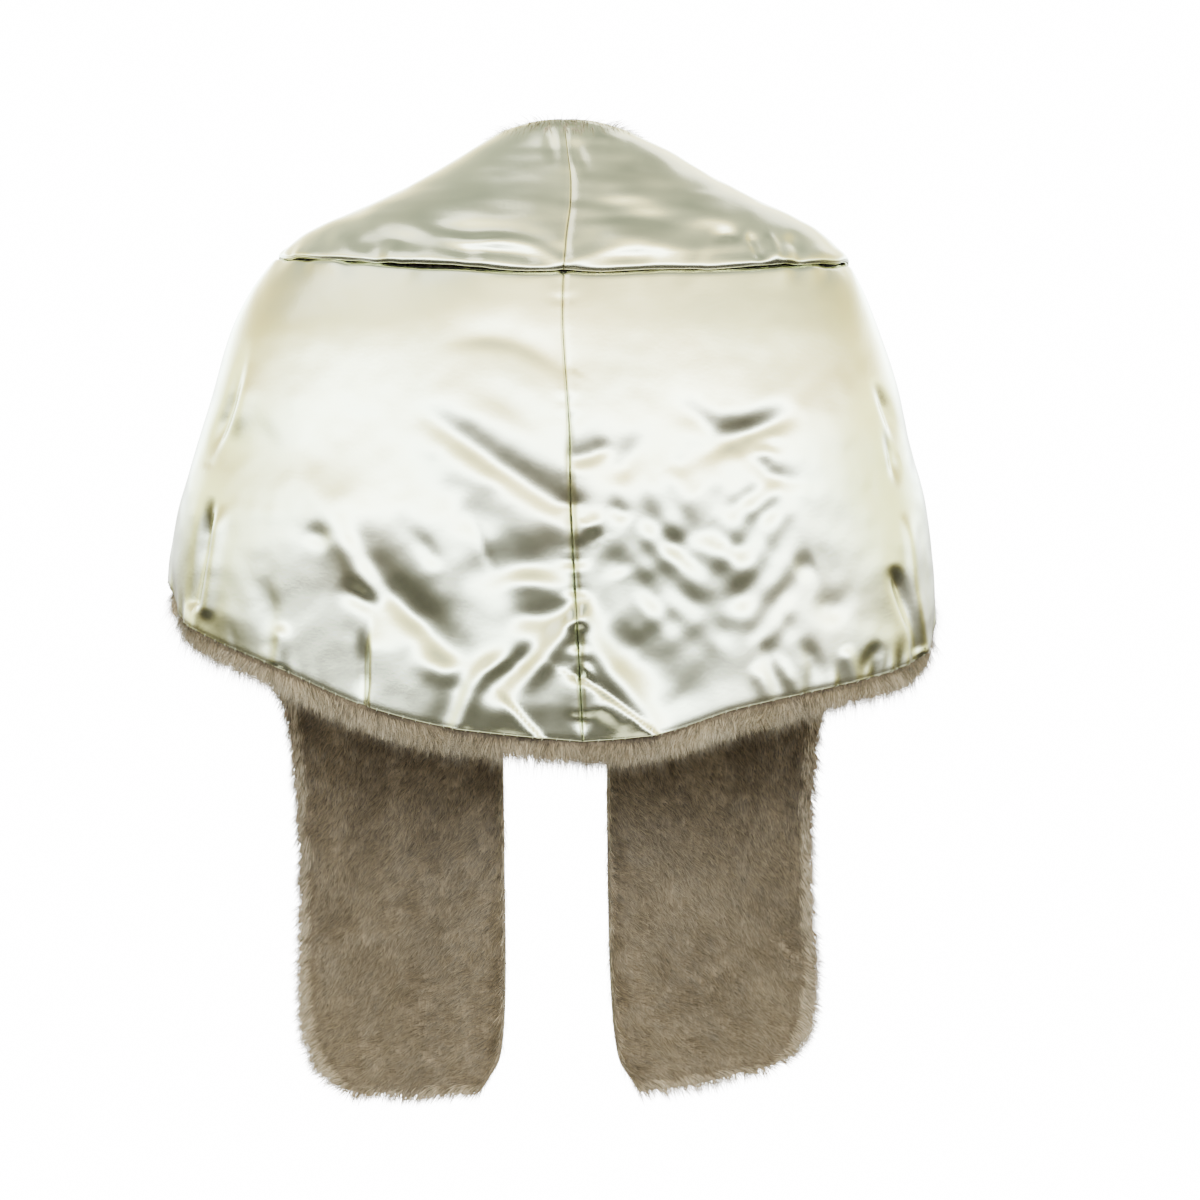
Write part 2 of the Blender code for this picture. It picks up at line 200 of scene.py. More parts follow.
class Lay:
    """A grid of cloth laid on the figure: sections `rows`, each at its own distances."""

    def __init__(self, rows, distances_of):
        self.rows = np.asarray(rows, float)
        steps = np.arange(len(CUT))
        column = {
            name: smooth(steps, [getattr(cut, name) for cut in CUT], np.abs(self.rows))
            for name in Section._fields
        }
        side = np.where(self.rows < 0, -1.0, 1.0)
        near_seam = np.clip(np.abs(self.rows), 0.0, 1.0)
        seam_hem = CUT[0].hem_round * (1 - near_seam) + side * CUT[1].hem_round * near_seam
        hem_side = np.where(near_seam < 1.0, seam_hem, side * column["hem_round"])
        hem_z = np.where(self.rows < 0, column["hem_z_right"], column["hem_z_left"])
        t = np.linspace(0.0, 1.0, SECTION_STEPS)
        points, across, reach, lengths = [], [], [], []
        for i in range(len(self.rows)):
            share = side[i] * column["neck_round"][i] * (1 - t) + hem_side[i] * t
            z = column["neck_z"][i] * (1 - t) + hem_z[i] * t
            line = ENVELOPE.point(share, z)
            gone = np.linalg.norm(np.diff(line, axis=0), axis=1)
            length = np.concatenate([[0.0], np.cumsum(gone)])
            at = np.asarray(distances_of(length[-1], column["collar"][i]))
            inside = np.clip(at, 0.0, length[-1])
            row = np.stack([np.interp(inside, length, line[:, k]) for k in range(3)], axis=-1)
            first = unit(line[0] - line[8])
            last = unit(line[-1] - line[-9])
            row += np.outer(np.maximum(-at, 0.0), first)
            row += np.outer(np.maximum(at - length[-1], 0.0), last)
            points.append(row)
            girth = ENVELOPE.half_girth(np.interp(inside, length, z))
            across.append(np.interp(inside, length, share) * girth)
            reach.append(at)
            lengths.append(np.full(len(at), length[-1]))
        self.base = np.array(points)
        self.across = np.array(across)
        self.reach = np.array(reach)
        self.length = np.array(lengths)
        self.collar = np.repeat(column["collar"][:, None], self.reach.shape[1], axis=1)
        self.row_grid = np.repeat(self.rows[:, None], self.reach.shape[1], axis=1)
        self.normal = normals_of(self.base)

    @property
    def x(self):
        return self.base[..., 0]

    @property
    def z(self):
        return self.base[..., 2]

    @property
    def on_back(self):
        """1 on the back of the garment, 0 on its front."""
        return ease(-0.100, -0.060, self.base[..., 1])


# ---------------------------------------------------------------- even noise

def hashed(i, j, seed):
    """A fixed pseudo-random value from -1 to 1 for whole-number places."""
    value = np.sin(i * 127.1 + j * 311.7 + seed * 74.7) * 43758.5453
    return 2 * (value - np.floor(value)) - 1


def noise(u, v, size, seed):
    """Smooth noise from -1 to 1 over a plane, with features about `size` wide."""
    u, v = u / size, v / size
    i, j = np.floor(u), np.floor(v)
    fu, fv = u - i, v - j
    fu = fu * fu * (3 - 2 * fu)
    fv = fv * fv * (3 - 2 * fv)
    top = hashed(i, j, seed) * (1 - fu) + hashed(i + 1, j, seed) * fu
    low = hashed(i, j + 1, seed) * (1 - fu) + hashed(i + 1, j + 1, seed) * fu
    return top * (1 - fv) + low * fv


# ---------------------------------------------------------------- creases

# Soft troughs (depth under 0) and ridges (over 0). Places and widths are in millimetres:
# `path` runs through (x, z) seen from behind, `left` and `right` are the half widths on
# either side of it as one walks along it, `start` and `end` the share of the height left
# at its ends: none where they are left out.
Crease = namedtuple("Crease", "path height left right start end", defaults=(0, 0))
BACK_CREASES = [
    # left half of the back
    (((132, -244), (92, -274), (52, -303), (-4, -340)), -4.2, 9, 11, 0, 1),
    (((82, -229), (45, -251), (6, -276)), -1.4, 10, 12, 0, 0.3),
    (((112, -200), (76, -193), (40, -197), (0, -219)), -1.7, 7, 12, 0, 0.6),
    (((182, -328), (168, -366), (145, -405), (117, -433), (94, -456), (68, -462)), -6.6, 9, 14),
    (((192, -340), (172, -386), (150, -420)), 2.4, 8, 8),
    (((190, -398), (170, -412), (144, -424)), -2.8, 7, 7),
    (((219, -353), (205, -361), (191, -368)), -1.5, 7, 7),
    (((158, -425), (160, -462), (162, -512)), 4.6, 2.0, 20, 0, 1),
    (((168, -436), (168, -470), (168, -508)), -4.2, 4, 4, 0, 0.4),
    (((92, -380), (60, -388), (28, -384), (-10, -371)), -4.4, 15, 17, 0, 0.8),
    (((62, -402), (30, -399), (2, -405)), 3.0, 8, 8, 0, 0.4),
    (((50, -424), (22, -428), (-10, -424)), -2.8, 9, 9, 0, 0.8),
    (((-12, -426), (14, -460), (36, -494)), 5.6, 7, 8, 0.8, 0),
    (((22, -448), (40, -470), (56, -492)), -4.6, 7, 7, 0, 0.2),
    (((34, -457), (60, -469), (75, -487), (88, -520)), 4.6, 7, 6, 0, 1),
    (((92, -470), (88, -492), (104, -520)), -2.8, 9, 9, 0, 0.6),
    (((62, -484), (38, -510), (10, -540)), 4.4, 15, 2.5, 0, 1),
    (((130, -352), (112, -374), (104, -392)), -1.4, 6, 6),
    (((78, -340), (66, -372), (58, -396)), -1.2, 3, 3),
    (((254, -392), (246, -420), (250, -448)), -1.6, 8, 6, 0, 0.5),
    (((128, -455), (104, -472), (84, -478)), 2.8, 9, 9),
    (((240, -432), (236, -446), (238, -464)), 2.2, 5, 5, 0, 1),
    (((236, -290), (200, -330), (176, -372), (150, -430)), 2.8, 18, 20),
    (((150, -270), (104, -318), (60, -350), (20, -366)), -3.2, 16, 20, 0, 0.2),
    # right half of the back
    (((-13, -467), (-20, -473), (-28, -483)), 2.6, 3, 3, 0.6, 0),
    (((-15, -432), (-34, -468), (-60, -502), (-80, -530)), 4.6, 9, 9, 0.9, 0.8),
    (((-14, -482), (-44, -502), (-82, -530)), 3.8, 16, 2.0, 0.6, 1),
    (((-20, -500), (-34, -503), (-48, -514)), 2.6, 6, 6, 0, 0.6),
    (((-36, -430), (-62, -460), (-94, -492)), -5.0, 14, 16, 0, 0.2),
    (((-198, -248), (-174, -266), (-140, -280), (-98, -301)), -4.4, 10, 8, 0, 0.2),
    (((-60, -270), (-100, -330), (-140, -372), (-160, -420)), 2.6, 20, 22),
    (((-84, -244), (-106, -258), (-126, -270), (-150, -272)), -2.0, 9, 8, 0, 0.4),
    (((-148, -290), (-164, -300), (-176, -311), (-216, -318)), -2.4, 7, 7, 0.2, 0),
    (((-150, -288), (-170, -284), (-186, -290)), -1.6, 5, 5, 0.4, 0),
    (((-12, -296), (-26, -292), (-40, -280)), -2.5, 6, 7, 0.9, 0),
    (((-40, -322), (-52, -300), (-64, -270)), -1.9, 8, 9),
    (((-60, -326), (-84, -352), (-104, -378)), -1.7, 10, 10),
    (((-106, -326), (-124, -346), (-138, -370)), -2.1, 9, 9),
    (((-80, -374), (-98, -366), (-118, -358)), -1.9, 9, 8),
    (((-130, -374), (-150, -368), (-170, -362)), -2.0, 10, 10),
    (((-58, -384), (-76, -404), (-102, -424)), -2.1, 10, 10),
    (((-112, -420), (-140, -412), (-176, -408)), -2.4, 11, 11),
    (((-120, -444), (-138, -440), (-156, -428)), -1.9, 9, 9),
    (((-92, -396), (-112, -392), (-130, -396)), 1.5, 11, 11),
    (((-190, -392), (-202, -386), (-212, -382)), -1.6, 8, 8),
    (((-206, -410), (-222, -420), (-238, -432)), -1.5, 10, 10),
    (((-160, -446), (-174, -464), (-184, -494)), -2.6, 6, 7, 0, 0.3),
    (((-168, -450), (-184, -474), (-194, -490)), 2.4, 5, 5, 0, 0.4),
    (((-196, -444), (-208, -464), (-212, -486)), -2.4, 6, 6, 0, 0.3),
    (((-154, -466), (-164, -480), (-172, -500)), 1.8, 5, 5, 0, 0.6),
    (((-268, -448), (-258, -460), (-250, -478)), -2.2, 5, 5, 0, 0.3),
    (((-232, -452), (-238, -464), (-244, -482)), 2.0, 5, 5, 0, 1),
    (((-32, -334), (-46, -340), (-56, -350)), -1.7, 6, 6),
    (((-30, -372), (-44, -384), (-50, -396)), -1.6, 9, 8),
    (((-14, -360), (-24, -352), (-36, -352)), 2.4, 6, 6, 0.7, 0),
    (((-100, -340), (-86, -356), (-70, -372)), 1.1, 10, 10),
    # sides
    (((268, -188), (281, -240), (292, -268), (303, -296)), -5.0, 5, 4, 0, 0.2),
    (((262, -210), (273, -250), (284, -286)), 1.8, 7, 7),
    (((297, -322), (303, -350), (307, -376), (314, -414)), -7.0, 5, 4, 0, 0.6),
    (((288, -330), (294, -362), (302, -420)), 2.6, 5, 5, 0, 1),
    (((-262, -224), (-276, -254), (-287, -286)), -4.0, 4, 5, 0, 0.2),
    (((-272, -262), (-280, -292), (-284, -322)), -3.6, 4, 4),
    (((-274, -382), (-284, -408), (-300, -452)), -5.2, 5, 5, 0, 0.5),
    (((-283, -336), (-291, -358), (-296, -414), (-304, -455)), 3.4, 4, 6, 0, 1),
]
COLLAR_CREASES = [
    (((134, -84), (100, -100), (52, -106), (6, -126)), -2.6, 7, 8, 0, 0.6),
    (((112, -102), (80, -112), (40, -112), (2, -130)), 2.4, 5, 5, 0, 0.8),
    (((128, -112), (88, -120), (50, -122), (8, -133)), -2.2, 5, 5, 0, 0.6),
    (((170, -96), (140, -108), (110, -122)), -1.8, 7, 7),
    (((204, -98), (190, -108), (170, -116)), 1.6, 7, 7),
    (((16, -8), (12, -24), (10, -44)), -1.4, 5, 4, 0.3, 0),
    (((-6, -14), (-12, -34), (-22, -58)), -1.8, 4, 6, 0.2, 0),
    (((-24, -14), (-38, -20), (-56, -24)), 1.6, 6, 5),
    (((-20, -76), (-44, -84), (-78, -90), (-116, -100)), -2.0, 8, 8),
    (((-8, -98), (-36, -104), (-72, -110), (-120, -116)), 1.8, 8, 7, 0.3, 0),
    (((-10, -128), (-48, -118), (-92, -118), (-160, -116)), 2.6, 5, 8, 0.7, 0.2),
    (((-60, -58), (-96, -70), (-140, -74)), -1.6, 8, 8),
    (((-96, -84), (-128, -88), (-158, -90)), 1.6, 7, 7),
    (((-120, -108), (-138, -104), (-152, -108)), -2.6, 4, 4),
    (((-152, -104), (-160, -110), (-164, -122)), -2.8, 4, 4, 0, 1),
    (((-170, -100), (-176, -110), (-178, -122)), 2.2, 4, 4, 0, 1),
    (((-186, -102), (-196, -110), (-200, -122)), -1.8, 5, 5, 0, 0.8),
    (((-40, -40), (-62, -38), (-84, -46)), -1.4, 6, 6),
]
# The same, but `path` runs through (distance round the figure from the centre back, z), for
# the sides and the fronts.
ROUND_CREASES = [
    (((400, -170), (404, -260), (396, -400)), 4.0, 14, 16, 0, 1),
    (((436, -190), (452, -280), (458, -400)), -4.6, 12, 10, 0, 1),
    (((476, -150), (498, -250), (508, -412)), 4.0, 14, 12, 0, 1),
    (((520, -180), (546, -280), (552, -430)), -4.4, 11, 12, 0, 1),
    (((566, -240), (572, -360), (580, -520)), 3.6, 12, 10, 0, 0.6),
    (((606, -180), (614, -320), (612, -520), (620, -700)), -5.0, 12, 12),
    (((650, -250), (646, -420), (652, -620), (640, -860)), 4.6, 14, 12, 0, 1),
    (((690, -320), (686, -520), (694, -700)), -3.8, 10, 12),
    (((724, -420), (716, -620), (722, -860)), 3.4, 10, 12, 0, 1),
    (((584, -560), (600, -620), (640, -660)), -2.4, 9, 9, 0.3, 0),
    (((590, -690), (620, -720), (670, -730)), 2.2, 9, 9, 0.3, 0),
    (((600, -760), (640, -780), (700, -772)), -2.0, 9, 9),
    (((-396, -180), (-404, -280), (-398, -410)), -4.4, 10, 12, 0, 1),
    (((-438, -170), (-446, -260), (-452, -400)), 4.2, 14, 12, 0, 1),
    (((-480, -160), (-500, -260), (-506, -410)), -4.4, 12, 11, 0, 1),
    (((-524, -200), (-540, -300), (-556, -430)), 4.0, 13, 12, 0, 1),
    (((-560, -190), (-580, -340), (-590, -560)), -3.6, 12, 12, 0, 0.3),
    (((-618, -200), (-616, -380), (-624, -600)), 4.6, 14, 12, 0, 0.3),
    (((-656, -280), (-650, -480), (-660, -700)), -4.6, 11, 12),
    (((-690, -360), (-680, -560), (-676, -850)), 3.8, 12, 10, 0, 1),
    (((-726, -460), (-720, -640), (-712, -850)), -3.0, 10, 9, 0, 1),
    (((-586, -600), (-620, -640), (-668, -650)), 2.4, 9, 9, 0.3, 0),
    (((-590, -720), (-636, -742), (-700, -730)), -2.2, 9, 9, 0.2, 0),
]
MILLIMETRE = 0.001
PATH_STEPS = 14
CREASE_SOFTNESS = 1.25


def curve_through(path):
    """Points of a smooth curve through a crease's path, in metres."""
    knots = np.array(path, float) * MILLIMETRE
    ends = np.vstack([2 * knots[0] - knots[1], knots, 2 * knots[-1] - knots[-2]])
    points = []
    for k in range(1, len(ends) - 2):
        a, b, c, d = ends[k - 1 : k + 3]
        for t in np.arange(PATH_STEPS) / PATH_STEPS:
            points.append(
                0.5 * (2 * b + (c - a) * t + (2 * a - 5 * b + 4 * c - d) * t**2
                       + (3 * b - a - 3 * c + d) * t**3)
            )
    points.append(knots[-1])
    return np.array(points)


def crease_height(u, v, creases):
    """Sum of the creases' heights at places (u, v)."""
    height = np.zeros_like(u)
    for crease in (Crease(*row) for row in creases):
        points = curve_through(crease.path)
        wide = max(crease.left, crease.right) * MILLIMETRE * 3
        low, high = points.min(axis=0) - wide, points.max(axis=0) + wide
        near = (u > low[0]) & (u < high[0]) & (v > low[1]) & (v < high[1])
        if not near.any():
            continue
        place = np.stack([u[near], v[near]], axis=-1)
        run = np.diff(points, axis=0)
        size = np.einsum("ij,ij->i", run, run)
        offset = place[:, None, :] - points[None, :-1, :]
        t = np.clip(np.einsum("kij,ij->ki", offset, run) / size, 0.0, 1.0)
        away = offset - t[..., None] * run[None]
        distance = np.linalg.norm(away, axis=-1)
        best = distance.argmin(axis=1)
        pick = np.arange(len(best))
        turned = run[best, 0] * away[pick, best, 1] - run[best, 1] * away[pick, best, 0]
        width = np.where(turned > 0, crease.left, crease.right) * MILLIMETRE * CREASE_SOFTNESS
        gone = (best + t[pick, best]) / len(run)
        fade = (crease.start + (1 - crease.start) * ease(0.0, 0.45, gone)) * (
            crease.end + (1 - crease.end) * ease(0.0, 0.45, 1 - gone)
        )
        ridge = bell(distance[pick, best], width)
        height[near] += crease.height * MILLIMETRE * ridge * fade
    return height


# Uneven swells: height in millimetres, size in metres and the noise's seed.
Swell = namedtuple("Swell", "height size seed")
BODY_SWELLS = [Swell(2.1, 0.070, 3), Swell(0.50, 0.036, 5)]
BODY_SLANTED = Swell(4.2, 0.130, 2)
BODY_FINE = Swell(0.22, 0.017, 8)
COLLAR_SWELLS = [Swell(1.9, 0.060, 43), Swell(0.9, 0.028, 45)]
PILE_SWELLS = [Swell(1.4, 0.045, 71), Swell(0.8, 0.016, 73)]
NET_HEIGHT = 0.62
NET_WAVE = 0.0062
NET_CROSS_WAVE = 0.0055
NET_BEND = 3.0
NET_BEND_SIZE = 0.05


def swells(u, v, table):
    """Sum of a table's swells at places (u, v), in millimetres."""
    return sum(swell.height * noise(u, v, swell.size, swell.seed) for swell in table)


def wrinkles(lay):
    """Small uneven swells of the loose satin, calm on the upper back, with a net of fine
    crossing folds on the lower right of the back."""
    loose = 0.50 + 0.50 * ease(0.18, 0.32, -lay.z)
    swell = swells(lay.across, lay.z, BODY_SWELLS)
    swell += swells(lay.across + 0.6 * lay.z, lay.z, [BODY_SLANTED])
    fine = swells(lay.across * 0.8 + lay.z, lay.z * 0.7 - lay.across, [BODY_FINE])
    net = ease(0.045, 0.075, -lay.x) * ease(0.0, 0.03, 0.205 + lay.x) * lay.on_back
    net = net * ease(0.30, 0.35, -lay.z) * ease(0.0, 0.04, 0.47 + lay.z)
    bend, cross_bend = (NET_BEND * noise(lay.x, lay.z, NET_BEND_SIZE, seed) for seed in (4, 6))
    one = np.sin((lay.x + lay.z) / NET_WAVE + bend)
    other = np.sin((lay.x - lay.z * 0.9) / NET_CROSS_WAVE + cross_bend)
    here = 0.55 + 0.9 * noise(lay.x, lay.z, 0.04, 9)
    cross = one * np.clip(here, 0, 1.2) + other * np.clip(1.1 - here, 0, 1.2)
    return MILLIMETRE * ((swell + fine) * loose + NET_HEIGHT * net * cross)


# Short puckers across a seam: their size, depth and reach from it, and the noise's seed.
Gather = namedtuple("Gather", "size depth reach seed")
BODY_SEAM_GATHER = Gather(0.0085, 0.0020, 0.010, 11)
BODY_HEM_GATHER = Gather(0.009, 0.0030, 0.016, 21)
BODY_TOP_GATHER = Gather(0.016, 0.0022, 0.014, 31)
COLLAR_SEAM_GATHER = Gather(0.014, 0.0012, 0.012, 51)
COLLAR_LOW_GATHER = Gather(0.013, 0.0022, 0.016, 61)


def gathers(along, away, gather):
    """Height of the puckers at places `along` a seam and `away` from it."""
    size, depth, reach, seed = gather
    bent = along + 0.004 * noise(along, away, 0.03, seed)
    pucker = noise(bent, away * 0.15, size, seed + 1)
    strength = 0.5 + 0.5 * noise(along, along * 0, 0.05, seed + 2)
    return depth * pucker * strength * bell(away, reach)


# ---------------------------------------------------------------- meshes

def linked(name, data):
    """A new object of the scene that holds `data`."""
    thing = bpy.data.objects.new(name, data)
    bpy.context.scene.collection.objects.link(thing)
    return thing


def placed(name, mesh, material):
    """A new smooth-shaded piece."""
    mesh.materials.append(material)
    mesh.shade_smooth()
    return linked(name, mesh)


def mesh_object(name, vertices, faces, material):
    mesh = bpy.data.meshes.new(name)
    mesh.from_pydata(vertices.tolist(), [], faces.tolist())
    return placed(name, mesh, material)


def grid_faces(across, along):
    """Quads of a point grid, facing the way its normals point."""
    i, j = np.meshgrid(np.arange(across - 1), np.arange(along - 1), indexing="ij")
    a = (i * along + j).ravel()
    return np.stack([a, a + along, a + along + 1, a + 1], axis=-1)


def grid_object(name, points, material):
    across, along = points.shape[:2]
    return mesh_object(name, points.reshape(-1, 3), grid_faces(across, along), material)


def add_uv(piece, u, v):
    """UV map in metres of cloth, for the weave."""
    layer = piece.data.uv_layers.new(name="Cloth")
    corner = np.empty(len(piece.data.loops), dtype=np.int32)
    piece.data.loops.foreach_get("vertex_index", corner)
    uv = np.stack([u.ravel()[corner], v.ravel()[corner]], axis=-1)
    layer.data.foreach_set("uv", uv.ravel().astype(np.float32))


# ---------------------------------------------------------------- satin

SEAM_ROLL = 0.0030
TOP_ROLL = 0.0035
NECK_ROLL = 0.0025
YOKE_ROLL = 0.0045
HEM_ROLL = 0.0020
HEM_TURN_UP = 0.006
HEM_CURL = 0.0005
HEM_CURL_REACH = 0.024
HEM_GROOVE = 0.0006
HEM_GROOVE_REACH = 0.003
NOTCH_REACH = 0.030
SEAM_DEPTH = 0.0012
BUSY_SEAM_DEPTH = 0.0016
SEAM_REACH = 0.0035
SEAM_HEM_FADE = 0.02
YOKE_GROOVE = 0.0026
YOKE_GROOVE_REACH = 0.0026
FRONT_NECK_DROP = 0.0030
FRONT_NECK_REACH = 0.006
COLLAR_BULGE = 0.0013
COLLAR_BULGE_AWAY = 0.006
COLLAR_BULGE_REACH = 0.008
COLLAR_EDGE = 0.0016
COLLAR_EDGE_REACH = 0.0018
NECK_DROP = 0.0025
NECK_REACH = 0.005
BODY_ALONG = 142
COLLAR_ALONG = 58
BACK_ROWS_FINE = 7
FINE_STEP = 1 / 32
COARSE_STEP = 1 / 15

# How far the satin's edge lies above (+) or below (-) the smooth hem, in millimetres, by
# its place across the back: pairs of (x, rise).
HEM_NOTCHES = [
    (-330, 0), (-268, 0), (-252, 3), (-244, -1), (-214, 2),
    (-205, -1), (-190, 3), (-178, -1), (-150, 1), (-110, 0),
    (-84, -3), (-77, -4), (-70, 3), (-58, 12), (-47, 15),
    (-36, 7), (-24, 2), (-14, 0), (6, -2), (13, -4),
    (20, 4), (36, 7), (58, 5), (72, 1), (84, 1),
    (110, 0), (140, 3), (154, 6), (158, 1), (163, -5),
    (170, 2), (190, 2), (215, 0), (232, 2), (240, -1),
    (258, 2), (300, 0), (340, 0),
]


# Closer rows along a piece's edges: distances from the edge.
EDGE_STEPS = np.array([0.0, 0.0006, 0.0013, 0.0022, 0.0034, 0.0052, 0.0076, 0.0100])


def symmetric_rows(last, fine_to):
    """Section numbers from -last to last, fine on the back and coarser on the front."""
    fine = np.arange(0.0, fine_to, FINE_STEP)
    coarse = np.linspace(fine_to, last, int(round((last - fine_to) / COARSE_STEP)) + 1)
    half = np.concatenate([fine, coarse])
    return np.concatenate([-half[:0:-1], half])


def body_distances(length, collar):
    start = collar if collar > 0.0005 else 0.0
    middle = np.linspace(start + EDGE_STEPS[-1], length - EDGE_STEPS[-1], BODY_ALONG)
    return np.concatenate([start + EDGE_STEPS[:-1], middle, length - EDGE_STEPS[-2::-1]])


def collar_distances(length, collar):
    return np.concatenate(
        [np.linspace(0.0, 1.0, COLLAR_ALONG) * max(collar - 0.011, collar * 0.5),
         collar - EDGE_STEPS[-2::-1] * min(1.0, collar / 0.022)]
    )


def seam_line_x(z):
    """Place of the centre back seam across the back."""
    seam = Lay([0.0, 0.01], lambda length, collar: np.linspace(0.0, length, 200))
    return np.interp(-z, -seam.z[0], seam.x[0])


def satin_body_points():
    lay = Lay(symmetric_rows(LAST_ROW, BACK_ROWS_FINE), body_distances)
    back = lay.on_back
    height = crease_height(lay.x, lay.z, BACK_CREASES) * back
    height += crease_height(lay.across, lay.z, ROUND_CREASES)
    height += wrinkles(lay) * (0.4 + 0.6 * ease(0.0, 0.030, lay.length - lay.reach))
    seam_away = np.abs(lay.x - seam_line_x(lay.z)) + (1 - back)
    busy = 0.35 + ease(0.25, 0.29, -lay.z) * 0.9
    height += busy * gathers(lay.z, seam_away, BODY_SEAM_GATHER)
    hem_away = lay.length - lay.reach
    groove = (SEAM_DEPTH + BUSY_SEAM_DEPTH * busy) * bell(seam_away, SEAM_REACH)
    height -= groove * ease(0.0, SEAM_HEM_FADE, hem_away)
    felled = 0.25 + 0.75 * ease(0.18, 0.21, np.abs(lay.x))
    height += felled * gathers(lay.across, hem_away, BODY_HEM_GATHER)
    height -= HEM_GROOVE * bell(hem_away, HEM_GROOVE_REACH)
    height -= HEM_CURL * bell(hem_away, HEM_CURL_REACH)
    top_away = lay.reach - lay.collar
    has_collar = ease(0.004, 0.020, lay.collar)
    height += has_collar * gathers(lay.across, top_away, BODY_TOP_GATHER)
    height -= has_collar * YOKE_GROOVE * bell(top_away, YOKE_GROOVE_REACH)
    height -= (1 - has_collar) * FRONT_NECK_DROP * bell(lay.reach, FRONT_NECK_REACH)
    points = lay.base + lay.normal * height[..., None]
    rise = np.interp(lay.x, *np.transpose(HEM_NOTCHES))
    near_hem = bell(hem_away, NOTCH_REACH) * back
    points[..., 2] += rise * MILLIMETRE * near_hem
    return lay, points


def satin_collar_points():
    lay = Lay(symmetric_rows(COLLAR_END_ROW, BACK_ROWS_FINE), collar_distances)
    back = lay.on_back
    height = crease_height(lay.x, lay.z, COLLAR_CREASES) * back
    calm = ease(0.010, 0.035, lay.reach)
    height += MILLIMETRE * calm * swells(lay.across, lay.z, COLLAR_SWELLS)
    ripple = noise(lay.across * 0.5 + lay.z, lay.z * 2.2 - lay.across * 0.3, 0.020, 47)
    height += MILLIMETRE * calm * (0.35 + 0.25 * ease(-0.01, 0.02, -lay.x)) * ripple
    seam_away = np.abs(lay.x - seam_line_x(lay.z)) + (1 - back)
    height += gathers(lay.z, seam_away, COLLAR_SEAM_GATHER)
    height -= SEAM_DEPTH * bell(seam_away, SEAM_REACH)
    low_away = lay.collar - lay.reach
    wide = ease(0.02, 0.10, lay.collar)
    height += wide * COLLAR_BULGE * bell(low_away - COLLAR_BULGE_AWAY, COLLAR_BULGE_REACH)
    height -= wide * COLLAR_EDGE * bell(low_away, COLLAR_EDGE_REACH)
    height += wide * gathers(lay.across, low_away, COLLAR_LOW_GATHER)
    height -= NECK_DROP * bell(lay.reach, NECK_REACH)
    return lay, lay.base + lay.normal * height[..., None]


def roll_edges(points, top, bottom, turn_up):
    """Turns the cloth in at its neck-side and hem-side edges, row by row."""
    normal = normals_of(points)
    down = unit(points[:, -1] - points[:, -3])
    up = unit(points[:, 0] - points[:, 2])
    before = [points[:, 0] - normal[:, 0] * top + up * 0.0002]
    before.append(points[:, 0] - normal[:, 0] * top * 0.35 + up * 0.0003)
    after = [points[:, -1] - normal[:, -1] * bottom * 0.4 + down * 0.0004]
    after.append(points[:, -1] - normal[:, -1] * bottom + down * 0.0002)
    if turn_up:
        after.append(points[:, -1] - normal[:, -1] * bottom * 1.15 - down * turn_up)
    return np.concatenate(
        [np.stack(before, axis=1), points, np.stack(after, axis=1)], axis=1
    )


def roll_seam(points, at_start):
    """Turns a half's centre back edge in, section by section."""
    normal = normals_of(points)
    edge, inner = (0, 2) if at_start else (-1, -3)
    out = unit(points[edge] - points[inner])
    rows = [
        points[edge] - normal[edge] * SEAM_ROLL * share + out * 0.0002
        for share in (1.0, 0.4)
    ]
    if at_start:
        return np.concatenate([np.stack(rows), points])
    return np.concatenate([points, np.stack(rows[::-1])])


SEAM_PART = 0.00025
WEAVE_WIDTH = 0.0022


def satin_halves(name, lay, points, top, bottom, turn_up, material):
    """Left and right satin pieces, joined at the centre back."""
    middle = len(lay.rows) // 2
    made, edges = {}, {}
    for side, span in (("left", slice(middle, None)), ("right", slice(0, middle + 1))):
        half = points[span].copy()
        at_start = side == "left"
        half[0 if at_start else -1, :, 0] += SEAM_PART if at_start else -SEAM_PART
        half = roll_edges(half, top, bottom, turn_up)
        half = roll_seam(half, at_start)
        piece = grid_object(f"{name}_{side}", half, material)
        edges[side] = points[span]
        rows, columns = half.shape[:2]
        along = np.linspace(0.0, 1.0, columns)[None] * lay.length.mean()
        across = np.linspace(0.0, 1.0, rows)[:, None] * rows * WEAVE_WIDTH
        add_uv(piece, across + along * 0, along + across * 0)
        made[side] = piece
    return made, edges


# ---------------------------------------------------------------- fur

FUR_TOP = 0.0100
FUR_ALONG = 80
FUR_STEP = 1 / 6
FUR_HEM_GAP = 0.004
FUR_NECK_GAP = 0.008
FLAT_STEPS = 60
END_DEPTH = 0.0062
# Rings that close the end of a front: distance past its last section and the share of the
# way to END_DEPTH.
END_RINGS = [(0.0045, 0.25), (0.0080, 0.60), (0.0095, 0.95)]
NORMAL_BLUR = 6
# Cross-section of the pile's surface past an edge: pairs of the distance past the satin's
# edge and the depth under the satin's face, in millimetres.
HEM_LIP = [(-14, 9.0), (-5, 7.6), (1, 5.8), (5, 4.8), (9, 5.2), (11.5, 7.2), (9, 9.6)]
NECK_LIP = [(-4, 9.6), (0, 8.4), (1.5, 6.0), (1, 3.8), (-3, 2.6), (-8, 2.4)]


